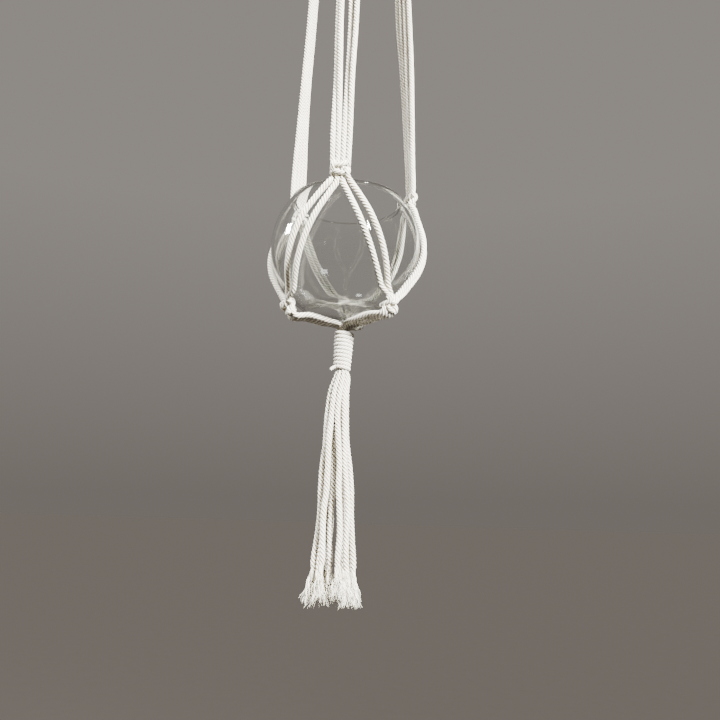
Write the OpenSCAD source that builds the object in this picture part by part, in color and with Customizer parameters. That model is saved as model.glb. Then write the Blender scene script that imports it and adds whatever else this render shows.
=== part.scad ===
// Hanging macrame planter: a ring, twelve cord strands in three arms,
// a knotted net with a round glass bowl, a wrapped gather and a tassel.
// The origin is where a hook bears on the ring; the planter hangs down -Z.

/* [Bowl] */
// Outer radius of the round glass bowl
bowl_r = 50; // [44:1:65]
// Radius of the bowl's open mouth, on the outside
mouth_r = 37.5; // [30:0.5:41]
// Radius of the flat base
base_r = 24; // [18:1:32]
// Thickness of the glass wall
glass_t = 2.2; // [1.6:0.1:3]
// Thickness of the glass under the floor
floor_t = 3; // [2.5:0.5:8]
// Radius of the rounded lip of the mouth
lip_r = 1.5; // [1.2:0.1:2]

/* [Cord] */
// Diameter of a cord strand
cord_d = 4; // [3:0.1:5]
// Width of a strand where a knot squeezes it, as a share of cord_d
squeeze = 0.76; // [0.7:0.01:0.85]
// Diameter of the thinner cord of the two wraps
wrap_d = 2.6; // [2:0.1:3.2]
// Clearance between a cord and the glass or the ring
cord_gap = 0.4; // [0.3:0.05:0.8]

/* [Ring] */
// Radius of the ring's hole
ring_hole_r = 20; // [18:1:32]
// Thickness of the ring's bar
ring_bar_d = 8; // [6:0.5:10]

/* [Hanger] */
// Drop from the ring's lower bar to the top wrap
neck_len = 40; // [36:1:60]
// Length of the top wrap
top_wrap_len = 30; // [24:1:40]
// Bore of the top wrap
top_bore_d = 12.6; // [12:0.2:15]
// Length of the arms from the top wrap to the upper knots
arm_len = 790; // [500:10:1000]
// Gap between the bowl's lip and an upper knot
rim_gap = 3.1; // [1:0.1:6]
// Height of the upper knots above the lip
knot_rise = 5.4; // [4:0.2:12]
// Gap between the bowl and a lower knot
knot_gap = 2.4; // [1.6:0.1:6]
// How far below level the lower knots sit, seen from the bowl's middle
lower_angle = 48.3; // [44:0.1:54]
// How far the two strands of a pair bow apart half way down
pair_bow = 1.9; // [0.5:0.1:3]

/* [Gather and tassel] */
// Drop from the bowl's base to the bottom wrap
gather_drop = 11.2; // [10:0.2:20]
// Length of the bottom wrap
bottom_wrap_len = 27.5; // [20:0.5:40]
// Bore of the bottom wrap
bottom_bore_d = 8; // [7.4:0.2:10]
// Taper of the bottom wrap's radius from top to bottom
wrap_taper = 0.8; // [0:0.1:1]
// Length of the tassel below the bottom wrap
tassel_len = 146; // [80:2:220]

/* [Hidden] */
$fn = 64;
cord_r = cord_d / 2;
cord_sides = 8;

// The bowl, measured from its middle
rim_rise = sqrt(bowl_r^2 - mouth_r^2);
base_drop = sqrt(bowl_r^2 - base_r^2);
lip_mid_r = mouth_r - glass_t / 2;

// Knots are sized by the cord: four strands wide, two cords thick, two half knots tall
grip_d = cord_d * squeeze;
grip_pitch = grip_d + 0.1;
knot_cover = 0.3;
knot_w = 4 * grip_pitch + 2 * knot_cover;
knot_t = 2 * cord_d + 0.5;
half_knot_h = 1.3 * cord_d;
knot_h = 2 * half_knot_h;
knot_bite = 0.25 * cord_d;

// The four strands of an arm, counted from the middle of their row
SLOTS = [-1.5, -0.5, 0.5, 1.5];
row_pitch = cord_d + 0.15;

// Levels, downward from the hook
ring_r = ring_hole_r + ring_bar_d / 2;
ring_z = -ring_hole_r;
top_wrap_z = ring_z - ring_r - neck_len;
top_mouth_z = top_wrap_z - top_wrap_len;
upper_knot_z = top_mouth_z - arm_len;
bowl_z = upper_knot_z - knot_rise - rim_rise;
base_z = bowl_z - base_drop;
gather_z = base_z - gather_drop;
tassel_z = gather_z - bottom_wrap_len;

// Places round the bowl: the arms were tied by hand, so each is turned and raised a little
ARM_AZ = [-85, 27, 152];
ARM_SECTOR = [-90, 30, 150];
ARM_RISE = [-2, 3, -0.5];
KNOT_AZ = [-30, 90, 210];
KNOT_LIFT = [0, 4.8, 0];
upper_knot_r = mouth_r + lip_r + rim_gap + knot_t / 2;
lower_dist = bowl_r + knot_gap + knot_h / 2;
function lower_knot_r(j) = lower_dist * cos(lower_angle - KNOT_LIFT[j]);
function lower_knot_z(j) = bowl_z - lower_dist * sin(lower_angle - KNOT_LIFT[j]);
hug_r = bowl_r + cord_gap + cord_r;

// Bundles of twelve strands inside the wraps
swing_gap = 0.3;
top_pack_r = top_bore_d / 2 - swing_gap;
gather_pack_r = bottom_bore_d / 2 - swing_gap;
mouth_reach = 0.5;

// Names of the nodes that repeat
SIDES = ["front", "right", "left"];
LOWS = ["right", "rear", "left"];
STRANDS = [1, 2, 3, 4];
function arm_name(k, i) = str("arm_", SIDES[k], "_", i);
function net_name(k, side, i) = str("net_", SIDES[k], "_", side < 0 ? "l" : "r", i);

// ---- Geometry helpers ----

function unit(v) = v / norm(v);
function mix(a, b, t) = a + (b - a) * t;

// A point given by its distance from the axis, sideways offset and height, at an azimuth
function polar(az, radial, side, z) =
    [radial * cos(az) - side * sin(az), radial * sin(az) + side * cos(az), z];

function tangent(pts, i) =
    unit(pts[min(i + 1, len(pts) - 1)] - pts[max(i - 1, 0)]);

// One ring of a cord's surface
function cord_ring(p, along, ref, r) =
    let (u = unit(cross(along, ref)), v = cross(along, u))
    [for (s = [0:cord_sides - 1])
        p + r * (cos(360 * s / cord_sides) * u + sin(360 * s / cord_sides) * v)];

// A cord swept through its points; ref is a direction that no stretch of it follows
module swept_cord(pts, radii, ref) {
    n = len(pts);
    rings = [for (i = [0:n - 1]) each cord_ring(pts[i], tangent(pts, i), ref, radii[i])];
    walls = [for (i = [0:n - 2], s = [0:cord_sides - 1])
        let (t = (s + 1) % cord_sides, a = i * cord_sides, b = a + cord_sides)
        each [[a + s, a + t, b + t], [a + s, b + t, b + s]]];
    first_cap = [for (s = [1:cord_sides - 2]) [0, s + 1, s]];
    last = (n - 1) * cord_sides;
    last_cap = [for (s = [1:cord_sides - 2]) [last, last + s, last + s + 1]];
    polyhedron(rings, concat(walls, first_cap, last_cap));
}

// A point of a cubic Bezier curve
function bezier(a, b, c, d, t) =
    (1 - t)^3 * a + 3 * (1 - t)^2 * t * b + 3 * (1 - t) * t^2 * c + t^3 * d;

// Twelve strands squeezed into one circle: four side by side for each arm
function packed(pack_r) = pack_r / (1 + sin(15));
function packed_strand_r(pack_r) = pack_r * sin(15) / (1 + sin(15)) - 0.02;

// ---- Ring and head ----

module hanging_ring() {
    color([0.80, 0.66, 0.47])
    translate([0, 0, ring_z])
    rotate([90, 0, 0])
    rotate_extrude()
    translate([ring_r, 0])
    circle(d = ring_bar_d);
}

// Spacing of the folded cords round the ring, set by their inner sides
fold_step = 2 * asin((cord_d + cord_gap) / 2 / (ring_hole_r - cord_gap - cord_d));
fold_r = ring_bar_d / 2 + cord_gap + cord_r;
FOLD_TURNS = [-90:22.5:90];

function fold_lean(m) = (m - 2.5) * fold_step;
function fold_out(m) = [sin(fold_lean(m)), 0, -cos(fold_lean(m))];
function fold_bar(m) = [0, 0, ring_z] + ring_r * fold_out(m);
function fold_loop(m, a) =
    fold_bar(m) - fold_r * cos(a) * fold_out(m) + [0, fold_r * sin(a), 0];

// One leg of a fold: it leaves the bar outward and runs down into its place in the bundle
leg_straight = 2;
LEG_STEPS = [0.12, 0.26, 0.4, 0.54, 0.68, 0.82, 1];
function fold_slot(m, face, z) =
    polar(face < 0 ? 195 + 30 * m : 165 - 30 * m, packed(top_pack_r), 0, z);
function fold_leg(m, face, t) =
    let (from = fold_bar(m) + [0, face * fold_r, 0],
         to = fold_slot(m, face, top_wrap_z + leg_straight))
    bezier(from, from + 0.45 * neck_len * fold_out(m), to + [0, 0, 0.4 * neck_len], to, t);

// The legs are squeezed as they close up, to half the way to the nearest one
leg_gap = 0.24;
function leg_room(m, face, t) =
    let (here = fold_leg(m, face, t))
    min(concat(
        [norm(here - fold_leg(m, -face, t))],
        [for (n = [m - 1, m + 1]) if (n >= 0 && n <= 5) norm(here - fold_leg(n, face, t))]
    ));
function leg_r(m, face, t) =
    min(mix(cord_r, packed_strand_r(top_pack_r), max(0, (t - 0.2) / 0.8)),
        (leg_room(m, face, t) - leg_gap) / 2);

module cord_fold(m) {
    last = len(LEG_STEPS) - 1;
    DOWN = [for (i = [last:-1:0]) LEG_STEPS[i]];
    pts = concat(
        [fold_slot(m, -1, top_wrap_z)],
        [for (t = DOWN) fold_leg(m, -1, t)],
        [for (a = FOLD_TURNS) fold_loop(m, a)],
        [for (t = LEG_STEPS) fold_leg(m, 1, t)],
        [fold_slot(m, 1, top_wrap_z)]
    );
    radii = concat(
        [leg_r(m, -1, 1)],
        [for (t = DOWN) leg_r(m, -1, t)],
        [for (a = FOLD_TURNS) cord_r],
        [for (t = LEG_STEPS) leg_r(m, 1, t)],
        [leg_r(m, 1, 1)]
    );
    color([0.93, 0.90, 0.83])
    swept_cord(pts, radii, [cos(fold_lean(m)), 0, sin(fold_lean(m))]);
}

module top_bundle() {
    color([0.90, 0.86, 0.78])
    translate([0, 0, top_mouth_z + top_pack_r + 1])
    cylinder(d = top_bore_d, h = top_wrap_len - top_pack_r - 1);
}

// A tight wrap: one bead for each turn of the cord over a thin backing
module wrap_sleeve(bore_d, length, taper) {
    turns = round(length / wrap_d);
    bead_d = length / turns;
    rotate_extrude() {
        for (i = [0:turns - 1])
            translate([bore_d / 2 + bead_d / 2 + taper * i / (turns - 1), bead_d * (i + 0.5)])
            circle(d = bead_d * 1.04);
        translate([bore_d / 2, bead_d / 2])
        polygon([
            [0, 0],
            [bead_d / 2, 0],
            [bead_d / 2 + taper, length - bead_d],
            [0, length - bead_d]
        ]);
    }
}

module top_wrap() {
    color([0.95, 0.93, 0.88])
    translate([0, 0, top_mouth_z])
    difference() {
        wrap_sleeve(top_bore_d, top_wrap_len, 0);
        translate([0, 0, -1])
        cylinder(d = top_bore_d, h = top_wrap_len + 2);
    }
}

// ---- Arms and net ----

function knot_top_z(k) = upper_knot_z + ARM_RISE[k];

// Drops below the top wrap where an arm's strands start to part and are full width
part_drop = 3;
full_drop = 26;

// Heights above an upper knot where the strands start to close up and are all gripped
close_rise = 24;
grip_rise = 4;

// How much thinner a loaded strand is, and how far an arm leans in above its knot
stretch_thin = 0.1;
arm_lean = 1.2;

// A strand of an arm: out of the top wrap, down its arm and into the upper knot
module arm_cord(k, i) {
    s = SLOTS[i - 1];
    fan = 30 * s;
    tuck = packed(top_pack_r);
    taut_r = cord_r - stretch_thin;
    loose = taut_r / sin(15) + 0.3;
    knot = knot_top_z(k) + knot_bite;
    pts = [
        polar(ARM_SECTOR[k] + fan, tuck, 0, top_mouth_z + mouth_reach),
        polar(ARM_SECTOR[k] + fan, tuck * 1.02, 0, top_mouth_z - part_drop),
        polar(ARM_SECTOR[k] + fan, loose, 0, top_mouth_z - full_drop),
        polar(ARM_AZ[k], upper_knot_r - arm_lean, s * row_pitch, knot + close_rise),
        polar(ARM_AZ[k], upper_knot_r, s * grip_pitch, knot + grip_rise),
        polar(ARM_AZ[k], upper_knot_r, s * grip_pitch, knot)
    ];
    thin = packed_strand_r(top_pack_r);
    color([0.95, 0.93, 0.88])
    swept_cord(pts, [thin, thin, taut_r, taut_r, grip_d / 2, grip_d / 2], [0, 1, 0]);
}

// A square knot as two half knots, each the outer shape of its crossed cords
module square_knot(az, radial, z) {
    corner = half_knot_h / 2;
    translate(polar(az, radial, 0, z))
    rotate([0, 0, az])
    for (level = [-1, 1])
        translate([0, 0, level * (half_knot_h / 2 - 0.15)])
        hull()
        for (x = [-1, 1], y = [-1, 1])
            translate([x * (knot_t / 2 - corner), y * (knot_w / 2 - corner), 0])
            sphere(r = corner, $fn = 20);
}

module upper_knot(k) {
    color([0.96, 0.94, 0.90])
    square_knot(ARM_AZ[k], upper_knot_r, knot_top_z(k));
}

module lower_knot(j) {
    color([0.93, 0.90, 0.84])
    square_knot(KNOT_AZ[j], lower_knot_r(j), lower_knot_z(j));
}

// The lower knot that a side of an arm runs to
function knot_below(k, side) = side > 0 ? k : (k + 2) % 3;

// Distance from the bowl's middle along a strand: straight off the glass, then round it
function net_dist(turn, whole, lift_a, lift_b) =
    turn < lift_a ? hug_r / cos(lift_a - turn)
    : turn > whole - lift_b ? hug_r / cos(turn - whole + lift_b)
    : hug_r;

// Strands leave a knot at a slant, so they are squeezed a little more there
net_grip_r = 0.4 * grip_pitch;
NET_PART = [0, 0.045, 0.12, 0.2, 0.28, 0.36, 0.44, 0.52, 0.6, 0.68, 0.76, 0.84, 0.9, 0.955, 1];

// A strand of the net: the shortest way round the bowl, bowed apart from its partner
module net_cord(k, side, i) {
    j = knot_below(k, side);
    middle = [0, 0, bowl_z];
    from_slot = side * (i == 1 ? 0.5 : 1.5);
    to_slot = -side * (i == 1 ? 1.5 : 0.5);
    a = polar(ARM_AZ[k], upper_knot_r, from_slot * grip_pitch, knot_top_z(k) - knot_bite) - middle;
    b = polar(KNOT_AZ[j], lower_knot_r(j), to_slot * grip_pitch, lower_knot_z(j) + knot_bite) - middle;
    whole = acos(unit(a) * unit(b));
    lift_a = acos(hug_r / norm(a));
    lift_b = acos(hug_r / norm(b));
    across = unit(cross(a, b));
    onward = cross(across, unit(a));
    apart = (i == 1 ? -1 : 1) * sign(across[2]) * pair_bow;
    pts = [for (t = NET_PART)
        let (turn = t * whole)
        middle + net_dist(turn, whole, lift_a, lift_b)
            * (cos(turn) * unit(a) + sin(turn) * onward)
            + apart * sin(180 * t) * across];
    radii = [for (t = NET_PART) mix(net_grip_r, cord_r, min(1, 8 * min(t, 1 - t)))];
    color([0.95, 0.93, 0.88])
    swept_cord(pts, radii, across);
}

// How far the strands hang below the edge of the base, beyond their clearance
base_sag = 2.4;

// The four strands from a lower knot, side by side under the base and into the gather
module base_cords(j) {
    tuck = packed(gather_pack_r);
    thin = packed_strand_r(gather_pack_r);
    low = lower_knot_z(j) - knot_bite;
    close_r = 0.62 * cord_r;
    // Each stop: distance from the axis, height above the gather, pitch of the row, radius
    under_z = base_z - cord_gap - cord_r - base_sag;
    for (s = SLOTS) {
        pts = [
            polar(KNOT_AZ[j], lower_knot_r(j), s * grip_pitch, low),
            polar(KNOT_AZ[j], base_r + 1, s * row_pitch, under_z),
            polar(KNOT_AZ[j], 13, s * row_pitch * 0.98, gather_z + 5.1),
            polar(KNOT_AZ[j], 8.6, s * row_pitch * 0.84, gather_z + 4.3),
            polar(KNOT_AZ[j] + 30 * s, (close_r + 0.16) / sin(15), 0, gather_z + 2.9),
            polar(KNOT_AZ[j] + 30 * s, tuck * 1.08, 0, gather_z + 0.3),
            polar(KNOT_AZ[j] + 30 * s, tuck, 0, gather_z - mouth_reach)
        ];
        color([0.88, 0.84, 0.76])
        swept_cord(
            pts,
            [grip_d / 2, cord_r, cord_r * 0.97, cord_r * 0.82, close_r, thin, thin],
            polar(KNOT_AZ[j], 0, 1, 0)
        );
    }
}

// ---- Bowl ----

module glass_bowl() {
    floor_z = floor_t - base_drop;
    color([0.80, 0.90, 0.86, 0.35])
    translate([0, 0, bowl_z]) {
        difference() {
            intersection() {
                sphere(r = bowl_r, $fn = 96);
                translate([0, 0, -base_drop])
                cylinder(r = bowl_r + 1, h = base_drop + rim_rise);
            }
            intersection() {
                sphere(r = bowl_r - glass_t, $fn = 96);
                translate([0, 0, floor_z])
                cylinder(r = bowl_r + 1, h = 2 * bowl_r);
            }
        }
        translate([0, 0, rim_rise])
        rotate_extrude()
        translate([lip_mid_r, 0])
        circle(r = lip_r);
    }
}

// ---- Gather and tassel ----

module gather_bundle() {
    inset = gather_pack_r + 1;
    color([0.90, 0.86, 0.78])
    translate([0, 0, tassel_z + inset])
    cylinder(d = bottom_bore_d, h = bottom_wrap_len - 2 * inset);
}

module bottom_wrap() {
    color([0.97, 0.96, 0.93])
    translate([0, 0, tassel_z])
    difference() {
        wrap_sleeve(bottom_bore_d, bottom_wrap_len, wrap_taper);
        translate([0, 0, -1])
        cylinder(d = bottom_bore_d, h = bottom_wrap_len + 2);
    }
}

// The cut end of the wrap's cord, which stands out low on one side
end_len = 3.4;
end_az = 215;
end_rise = 2.4;
module wrap_end() {
    reach = bottom_bore_d / 2 + wrap_d * 0.75;
    color([0.96, 0.94, 0.90])
    translate(polar(end_az, reach, 0, tassel_z + end_rise))
    rotate([0, 0, end_az])
    rotate([0, 105, 0])
    cylinder(d = wrap_d * 0.8, h = end_len);
}

// Places of the tassel's strands: three inside and nine round them
function tassel_az(i) = i <= 3 ? 120 * i - 90 : 40 * i + 10;
function tassel_ring(i) = i <= 3 ? 1.155 : 3.03;

// How far each strand drifts from its place by its end, and how much longer it hangs
DRIFT = [
    [0.5, 0.2], [-0.4, 0.5], [0, -0.5], [0.5, 0.4], [-0.3, 0.8], [-0.8, 0.3],
    [-0.6, -0.2], [-0.7, -0.7], [0.2, -0.8], [0.9, -0.4], [0.8, 0.6], [0.2, 0.9]
];
EXTRA = [0, 1, -2, 2, -1, -3, -4, 0, 1, 2, -1, 0];
TASSEL_FALL = [0, 0.03, 0.2, 0.42, 0.62, 0.82, 1];
TASSEL_SPREAD = [0.95, 1, 2.1, 2.45, 2.75, 2.95, 3.15];

module tassel_cord(i) {
    unit_gap = gather_pack_r / 4;
    grow = cord_r / 2;
    n = len(TASSEL_FALL);
    long = tassel_len + EXTRA[i - 1];
    pts = [for (q = [0:n - 1])
        let (spread = q < 2 ? unit_gap * TASSEL_SPREAD[q] : grow * TASSEL_SPREAD[q],
             t = TASSEL_FALL[q])
        polar(
            tassel_az(i), spread * tassel_ring(i), 0,
            tassel_z + (q == 0 ? mouth_reach : 0) - t * long
        ) + t^2 * [DRIFT[i - 1][0], DRIFT[i - 1][1], 0]];
    radii = [for (q = [0:n - 1]) q < 2 ? unit_gap * 0.92 : cord_r];
    color([0.94, 0.91, 0.84])
    swept_cord(pts, radii, [0, 1, 0]);
}

// ---- Nodes ----

hanging_ring();
for (m = [1:6])
    cord_fold(m - 1);
top_bundle();
top_wrap();
for (k = [0:2], i = STRANDS)
    arm_cord(k, i);
for (k = [0:2])
    upper_knot(k);
for (k = [0:2], side = [-1, 1], i = [1, 2])
    net_cord(k, side, i);
for (j = [0:2])
    lower_knot(j);
for (j = [0:2])
    base_cords(j);
glass_bowl();
gather_bundle();
bottom_wrap();
wrap_end();
for (i = [1:12])
    tassel_cord(i);
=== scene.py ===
# Hanging macrame planter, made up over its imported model: twisted cotton strands tied in square
# knots round a blown glass bowl, two tight wraps, a frayed tassel and a turned wooden ring.
# Everything is in metres, with the hook at the origin and the planter hanging down -Z.

import math

import bpy
import numpy as np
from mathutils import Matrix, Vector


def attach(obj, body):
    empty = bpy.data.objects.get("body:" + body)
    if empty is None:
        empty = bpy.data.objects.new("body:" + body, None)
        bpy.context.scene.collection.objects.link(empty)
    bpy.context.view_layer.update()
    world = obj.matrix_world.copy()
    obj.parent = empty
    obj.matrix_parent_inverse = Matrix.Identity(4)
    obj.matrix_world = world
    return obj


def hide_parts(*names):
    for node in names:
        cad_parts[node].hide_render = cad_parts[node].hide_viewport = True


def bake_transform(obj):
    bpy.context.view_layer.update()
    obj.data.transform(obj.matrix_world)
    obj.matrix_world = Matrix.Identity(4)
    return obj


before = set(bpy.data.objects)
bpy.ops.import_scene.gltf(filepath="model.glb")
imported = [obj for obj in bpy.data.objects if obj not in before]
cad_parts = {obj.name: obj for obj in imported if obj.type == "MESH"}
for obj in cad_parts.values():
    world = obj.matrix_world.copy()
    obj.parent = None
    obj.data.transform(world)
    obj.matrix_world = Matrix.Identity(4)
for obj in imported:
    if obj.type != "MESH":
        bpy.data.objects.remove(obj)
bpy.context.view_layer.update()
TURN = 2 * math.pi

# ---- Sizes of the part ----

BOWL_R = 0.050
MOUTH_R = 0.0375
BASE_R = 0.024
GLASS = 0.0022      # thickness of the wall
FLOOR = 0.0024      # thickness of the bowl's floor
LIP_R = 0.0015
CORD_R = 0.002      # the cord by the reel
SHOWN_R = 0.00185   # its plies' outside where it hangs free
TAUT_R = 0.0017     # and where it is pulled straight
RING_R = 0.024      # to the middle of the bar
RING_BAR_R = 0.004
NECK = 0.040        # from the ring to the top wrap
TOP_WRAP_LEN = 0.030
GATHER_LEN = 0.0275
GAP = 0.0004        # between a cord and what it lies on

# Heights, from the hook down. A wrap's mouth is the end that the strands leave by.
RING_Z = -0.020
TOP_WRAP_Z = -0.084
TOP_MOUTH_Z = -0.114
UPPER_KNOT_Z = -0.904
KNOT_OVER_MOUTH = 0.0054
BOWL_Z = UPPER_KNOT_Z - KNOT_OVER_MOUTH - math.sqrt(BOWL_R**2 - MOUTH_R**2)
BASE_DROP = math.sqrt(BOWL_R**2 - BASE_R**2)
BASE_Z = BOWL_Z - BASE_DROP
GATHER_DROP = 0.0112
GATHER_Z = BASE_Z - GATHER_DROP
TASSEL_Z = GATHER_Z - GATHER_LEN

# Wraps: how tightly the twelve strands pack inside them, and the bore of each
TOP_PACK_R = 0.0060
TOP_BORE_R = 0.0063
GATHER_PACK_R = 0.0037
GATHER_BORE_R = 0.0040
WRAP_TAPER = 0.0008

# Knots: height, distance between gripped strands, and how thin a strand is inside one
KNOT_H = 0.0104
GRIP_PITCH = 0.00314
GRIP_R = 0.00152
KNOT_CORD_R = 0.00148
UPPER_KNOT_R = MOUTH_R + LIP_R + 0.0031 + 0.00425
LOWER_REACH = BOWL_R + 0.0024 + KNOT_H / 2
HUG_R = BOWL_R + GAP + CORD_R   # middle of a cord that lies on the glass

# Arms and knots in order round the planter, with azimuths in degrees
SIDES = ["front", "right", "left"]
LOWS = ["right", "rear", "left"]
SLOTS = [-1.5, -0.5, 0.5, 1.5]     # the four strands side by side in an arm
ARM_AZ = [-85, 27, 152]            # where the upper knots hang
ARM_SECTOR = [-90, 30, 150]        # where the arms leave the top wrap
ARM_RISE = [-0.002, 0.003, -0.0005]   # how much higher each upper knot is tied
UPPER_SNUG = [0.92, 0.62, 0.92]    # how flat each upper knot is pulled
KNOT_AZ = [-30, 90, 210]
KNOT_BELOW = [math.radians(a) for a in (48.3, 41.0, 49.6)]   # below the bowl's middle
LOWER_KNOT_R = [LOWER_REACH * math.cos(a) for a in KNOT_BELOW]
LOWER_KNOT_Z = [BOWL_Z - LOWER_REACH * math.sin(a) for a in KNOT_BELOW]
LOWER_TILT = 28.0                     # the lower knots lean out from under the bowl
LOWER_SNUG = 0.8
BASE_SAG = [0.0048, 0.0023, 0.0048]   # how far the strands hang below the edge of the base


# ---- Node trees ----

class Wire:
    """One output of a node. Arithmetic on it adds Math nodes to its graph."""

    def __init__(self, graph, socket):
        self.graph, self.socket = graph, socket

    def __getitem__(self, name):
        return Wire(self.graph, self.graph.find(self.socket.node.outputs, name))

    def __add__(self, other):
        return self.graph.math("ADD", self, other)

    def __radd__(self, other):
        return self.graph.math("ADD", other, self)

    def __sub__(self, other):
        return self.graph.math("SUBTRACT", self, other)

    def __rsub__(self, other):
        return self.graph.math("SUBTRACT", other, self)

    def __mul__(self, other):
        return self.graph.math("MULTIPLY", self, other)

    def __truediv__(self, other):
        return self.graph.math("DIVIDE", self, other)

    def __pow__(self, other):
        return self.graph.math("POWER", self, other)


class Graph:
    """A shader or geometry node tree, with short ways to add the nodes that this part uses."""

    def __init__(self, tree):
        self.tree = tree

    @staticmethod
    def find(sockets, key):
        if isinstance(key, int):
            return sockets[key]
        return next(s for s in sockets if s.enabled and s.name == key)

    def add(self, kind, settings=None, values=None):
        """Adds a node with these settings and input values, and returns its first output."""
        node = self.tree.nodes.new(kind)
        for key, value in (settings or {}).items():
            setattr(node, key, value)
        for key, value in (values or {}).items():
            socket = self.find(node.inputs, key)
            if isinstance(value, Wire):
                self.tree.links.new(value.socket, socket)
            else:
                socket.default_value = value
        shown = [s for s in node.outputs if s.enabled]
        return Wire(self, shown[0]) if shown else node

    def math(self, operation, a, b=0.0):
        return self.add("ShaderNodeMath", {"operation": operation}, {0: a, 1: b})

    def vector(self, operation, a, b=(0, 0, 0), scale=1.0):
        values = {0: a, 3: scale} if operation == "SCALE" else {0: a, 1: b}
        return self.add("ShaderNodeVectorMath", {"operation": operation}, values)

    def point(self, x, y, z):
        return self.add("ShaderNodeCombineXYZ", None, {0: x, 1: y, 2: z})

    def parts(self, vector):
        split = self.add("ShaderNodeSeparateXYZ", None, {0: vector})
        return split["X"], split["Y"], split["Z"]

    def noise(self, place, scale, detail=2.0, rough=0.5):
        return self.add("ShaderNodeTexNoise", None, {
            "Vector": place, "Scale": scale, "Detail": detail, "Roughness": rough})

    def store(self, geometry, name, value, kind="FLOAT"):
        settings = {"data_type": kind, "domain": "POINT"}
        return self.add("GeometryNodeStoreNamedAttribute", settings, {
            "Geometry": geometry, "Name": name, "Value": value})

    def random(self, low, high, index, seed):
        return self.add("FunctionNodeRandomValue", {"data_type": "FLOAT"}, {
            "Min": low, "Max": high, "ID": index, "Seed": seed})


def geometry_graph(name, inputs):
    """A geometry node tree with a Geometry input, the named inputs and one Geometry output."""
    tree = bpy.data.node_groups.new(name, "GeometryNodeTree")
    tree.interface.new_socket("Geometry", in_out="INPUT", socket_type="NodeSocketGeometry")
    for label, kind, value in inputs:
        item = tree.interface.new_socket(label, in_out="INPUT", socket_type="NodeSocket" + kind)
        if value is not None:
            item.default_value = value
    tree.interface.new_socket("Geometry", in_out="OUTPUT", socket_type="NodeSocketGeometry")
    graph = Graph(tree)
    return graph, graph.add("NodeGroupInput")


def close_graph(graph, geometry, material):
    """Ends a tree: smooth faces, one material, real geometry."""
    smooth = graph.add("GeometryNodeSetShadeSmooth", None, {"Geometry": geometry})
    dressed = graph.add("GeometryNodeSetMaterial", None, {"Geometry": smooth, "Material": material})
    real = graph.add("GeometryNodeRealizeInstances", None, {"Geometry": dressed})
    graph.add("NodeGroupOutput", None, {"Geometry": real})
    return graph.tree


def twisted_cord_tree():
    """Lays a twisted cord along each line: plies side by side that turn as they go."""
    graph, given = geometry_graph("twisted_cord", [
        ("Lay", "Float", 0.010), ("Plies", "Int", 4), ("Facets", "Int", 6),
        ("Ply share", "Float", 0.52), ("Cotton", "Material", None)])
    along = graph.add("GeometryNodeSplineParameter")["Length"]
    tilted = graph.add("GeometryNodeSetCurveTilt", None, {
        "Curve": given["Geometry"], "Tilt": along / given["Lay"] * -TURN})
    line = graph.store(tilted, "along", along)
    plies = given["Plies"] * 1.0
    circle = graph.add("GeometryNodeCurvePrimitiveCircle", {"mode": "RADIUS"}, {
        "Resolution": plies * given["Facets"], "Radius": 1.0})
    place = graph.add("GeometryNodeInputPosition")
    x, y, z = graph.parts(place)

    # How far out the nearest ply's outline is, at the angle psi from that ply's middle. The whole
    # turns keep the fraction above zero, and the gain brings the deepest groove near 1.
    whole_turns, groove_gain = 16.0, 3.7
    part = graph.math("FRACT", graph.math("ARCTAN2", y, x) * plies / TURN + whole_turns)
    psi = (part - 0.5) * TURN / plies
    ply_r = given["Ply share"]
    off = 1.0 - ply_r
    sine, cosine = graph.math("SINE", psi), graph.math("COSINE", psi)
    reach = off * cosine + (ply_r * ply_r - (off * sine) ** 2.0) ** 0.5
    round_side = graph.store(circle, "side", place, "FLOAT_VECTOR")
    # The crease value marks the grooves between plies, where the cotton finishes paint shade with
    # it.
    creased = graph.store(round_side, "crease", (1.0 - reach) * groove_gain)
    profile = graph.add("GeometryNodeSetPosition", None, {
        "Geometry": creased, "Position": graph.vector("SCALE", place, scale=reach)})
    radius = graph.add("GeometryNodeInputRadius")
    cord = graph.add("GeometryNodeCurveToMesh", None, {
        "Curve": line, "Profile Curve": profile, "Scale": radius, "Fill Caps": True})
    return close_graph(graph, cord, given["Cotton"])


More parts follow.
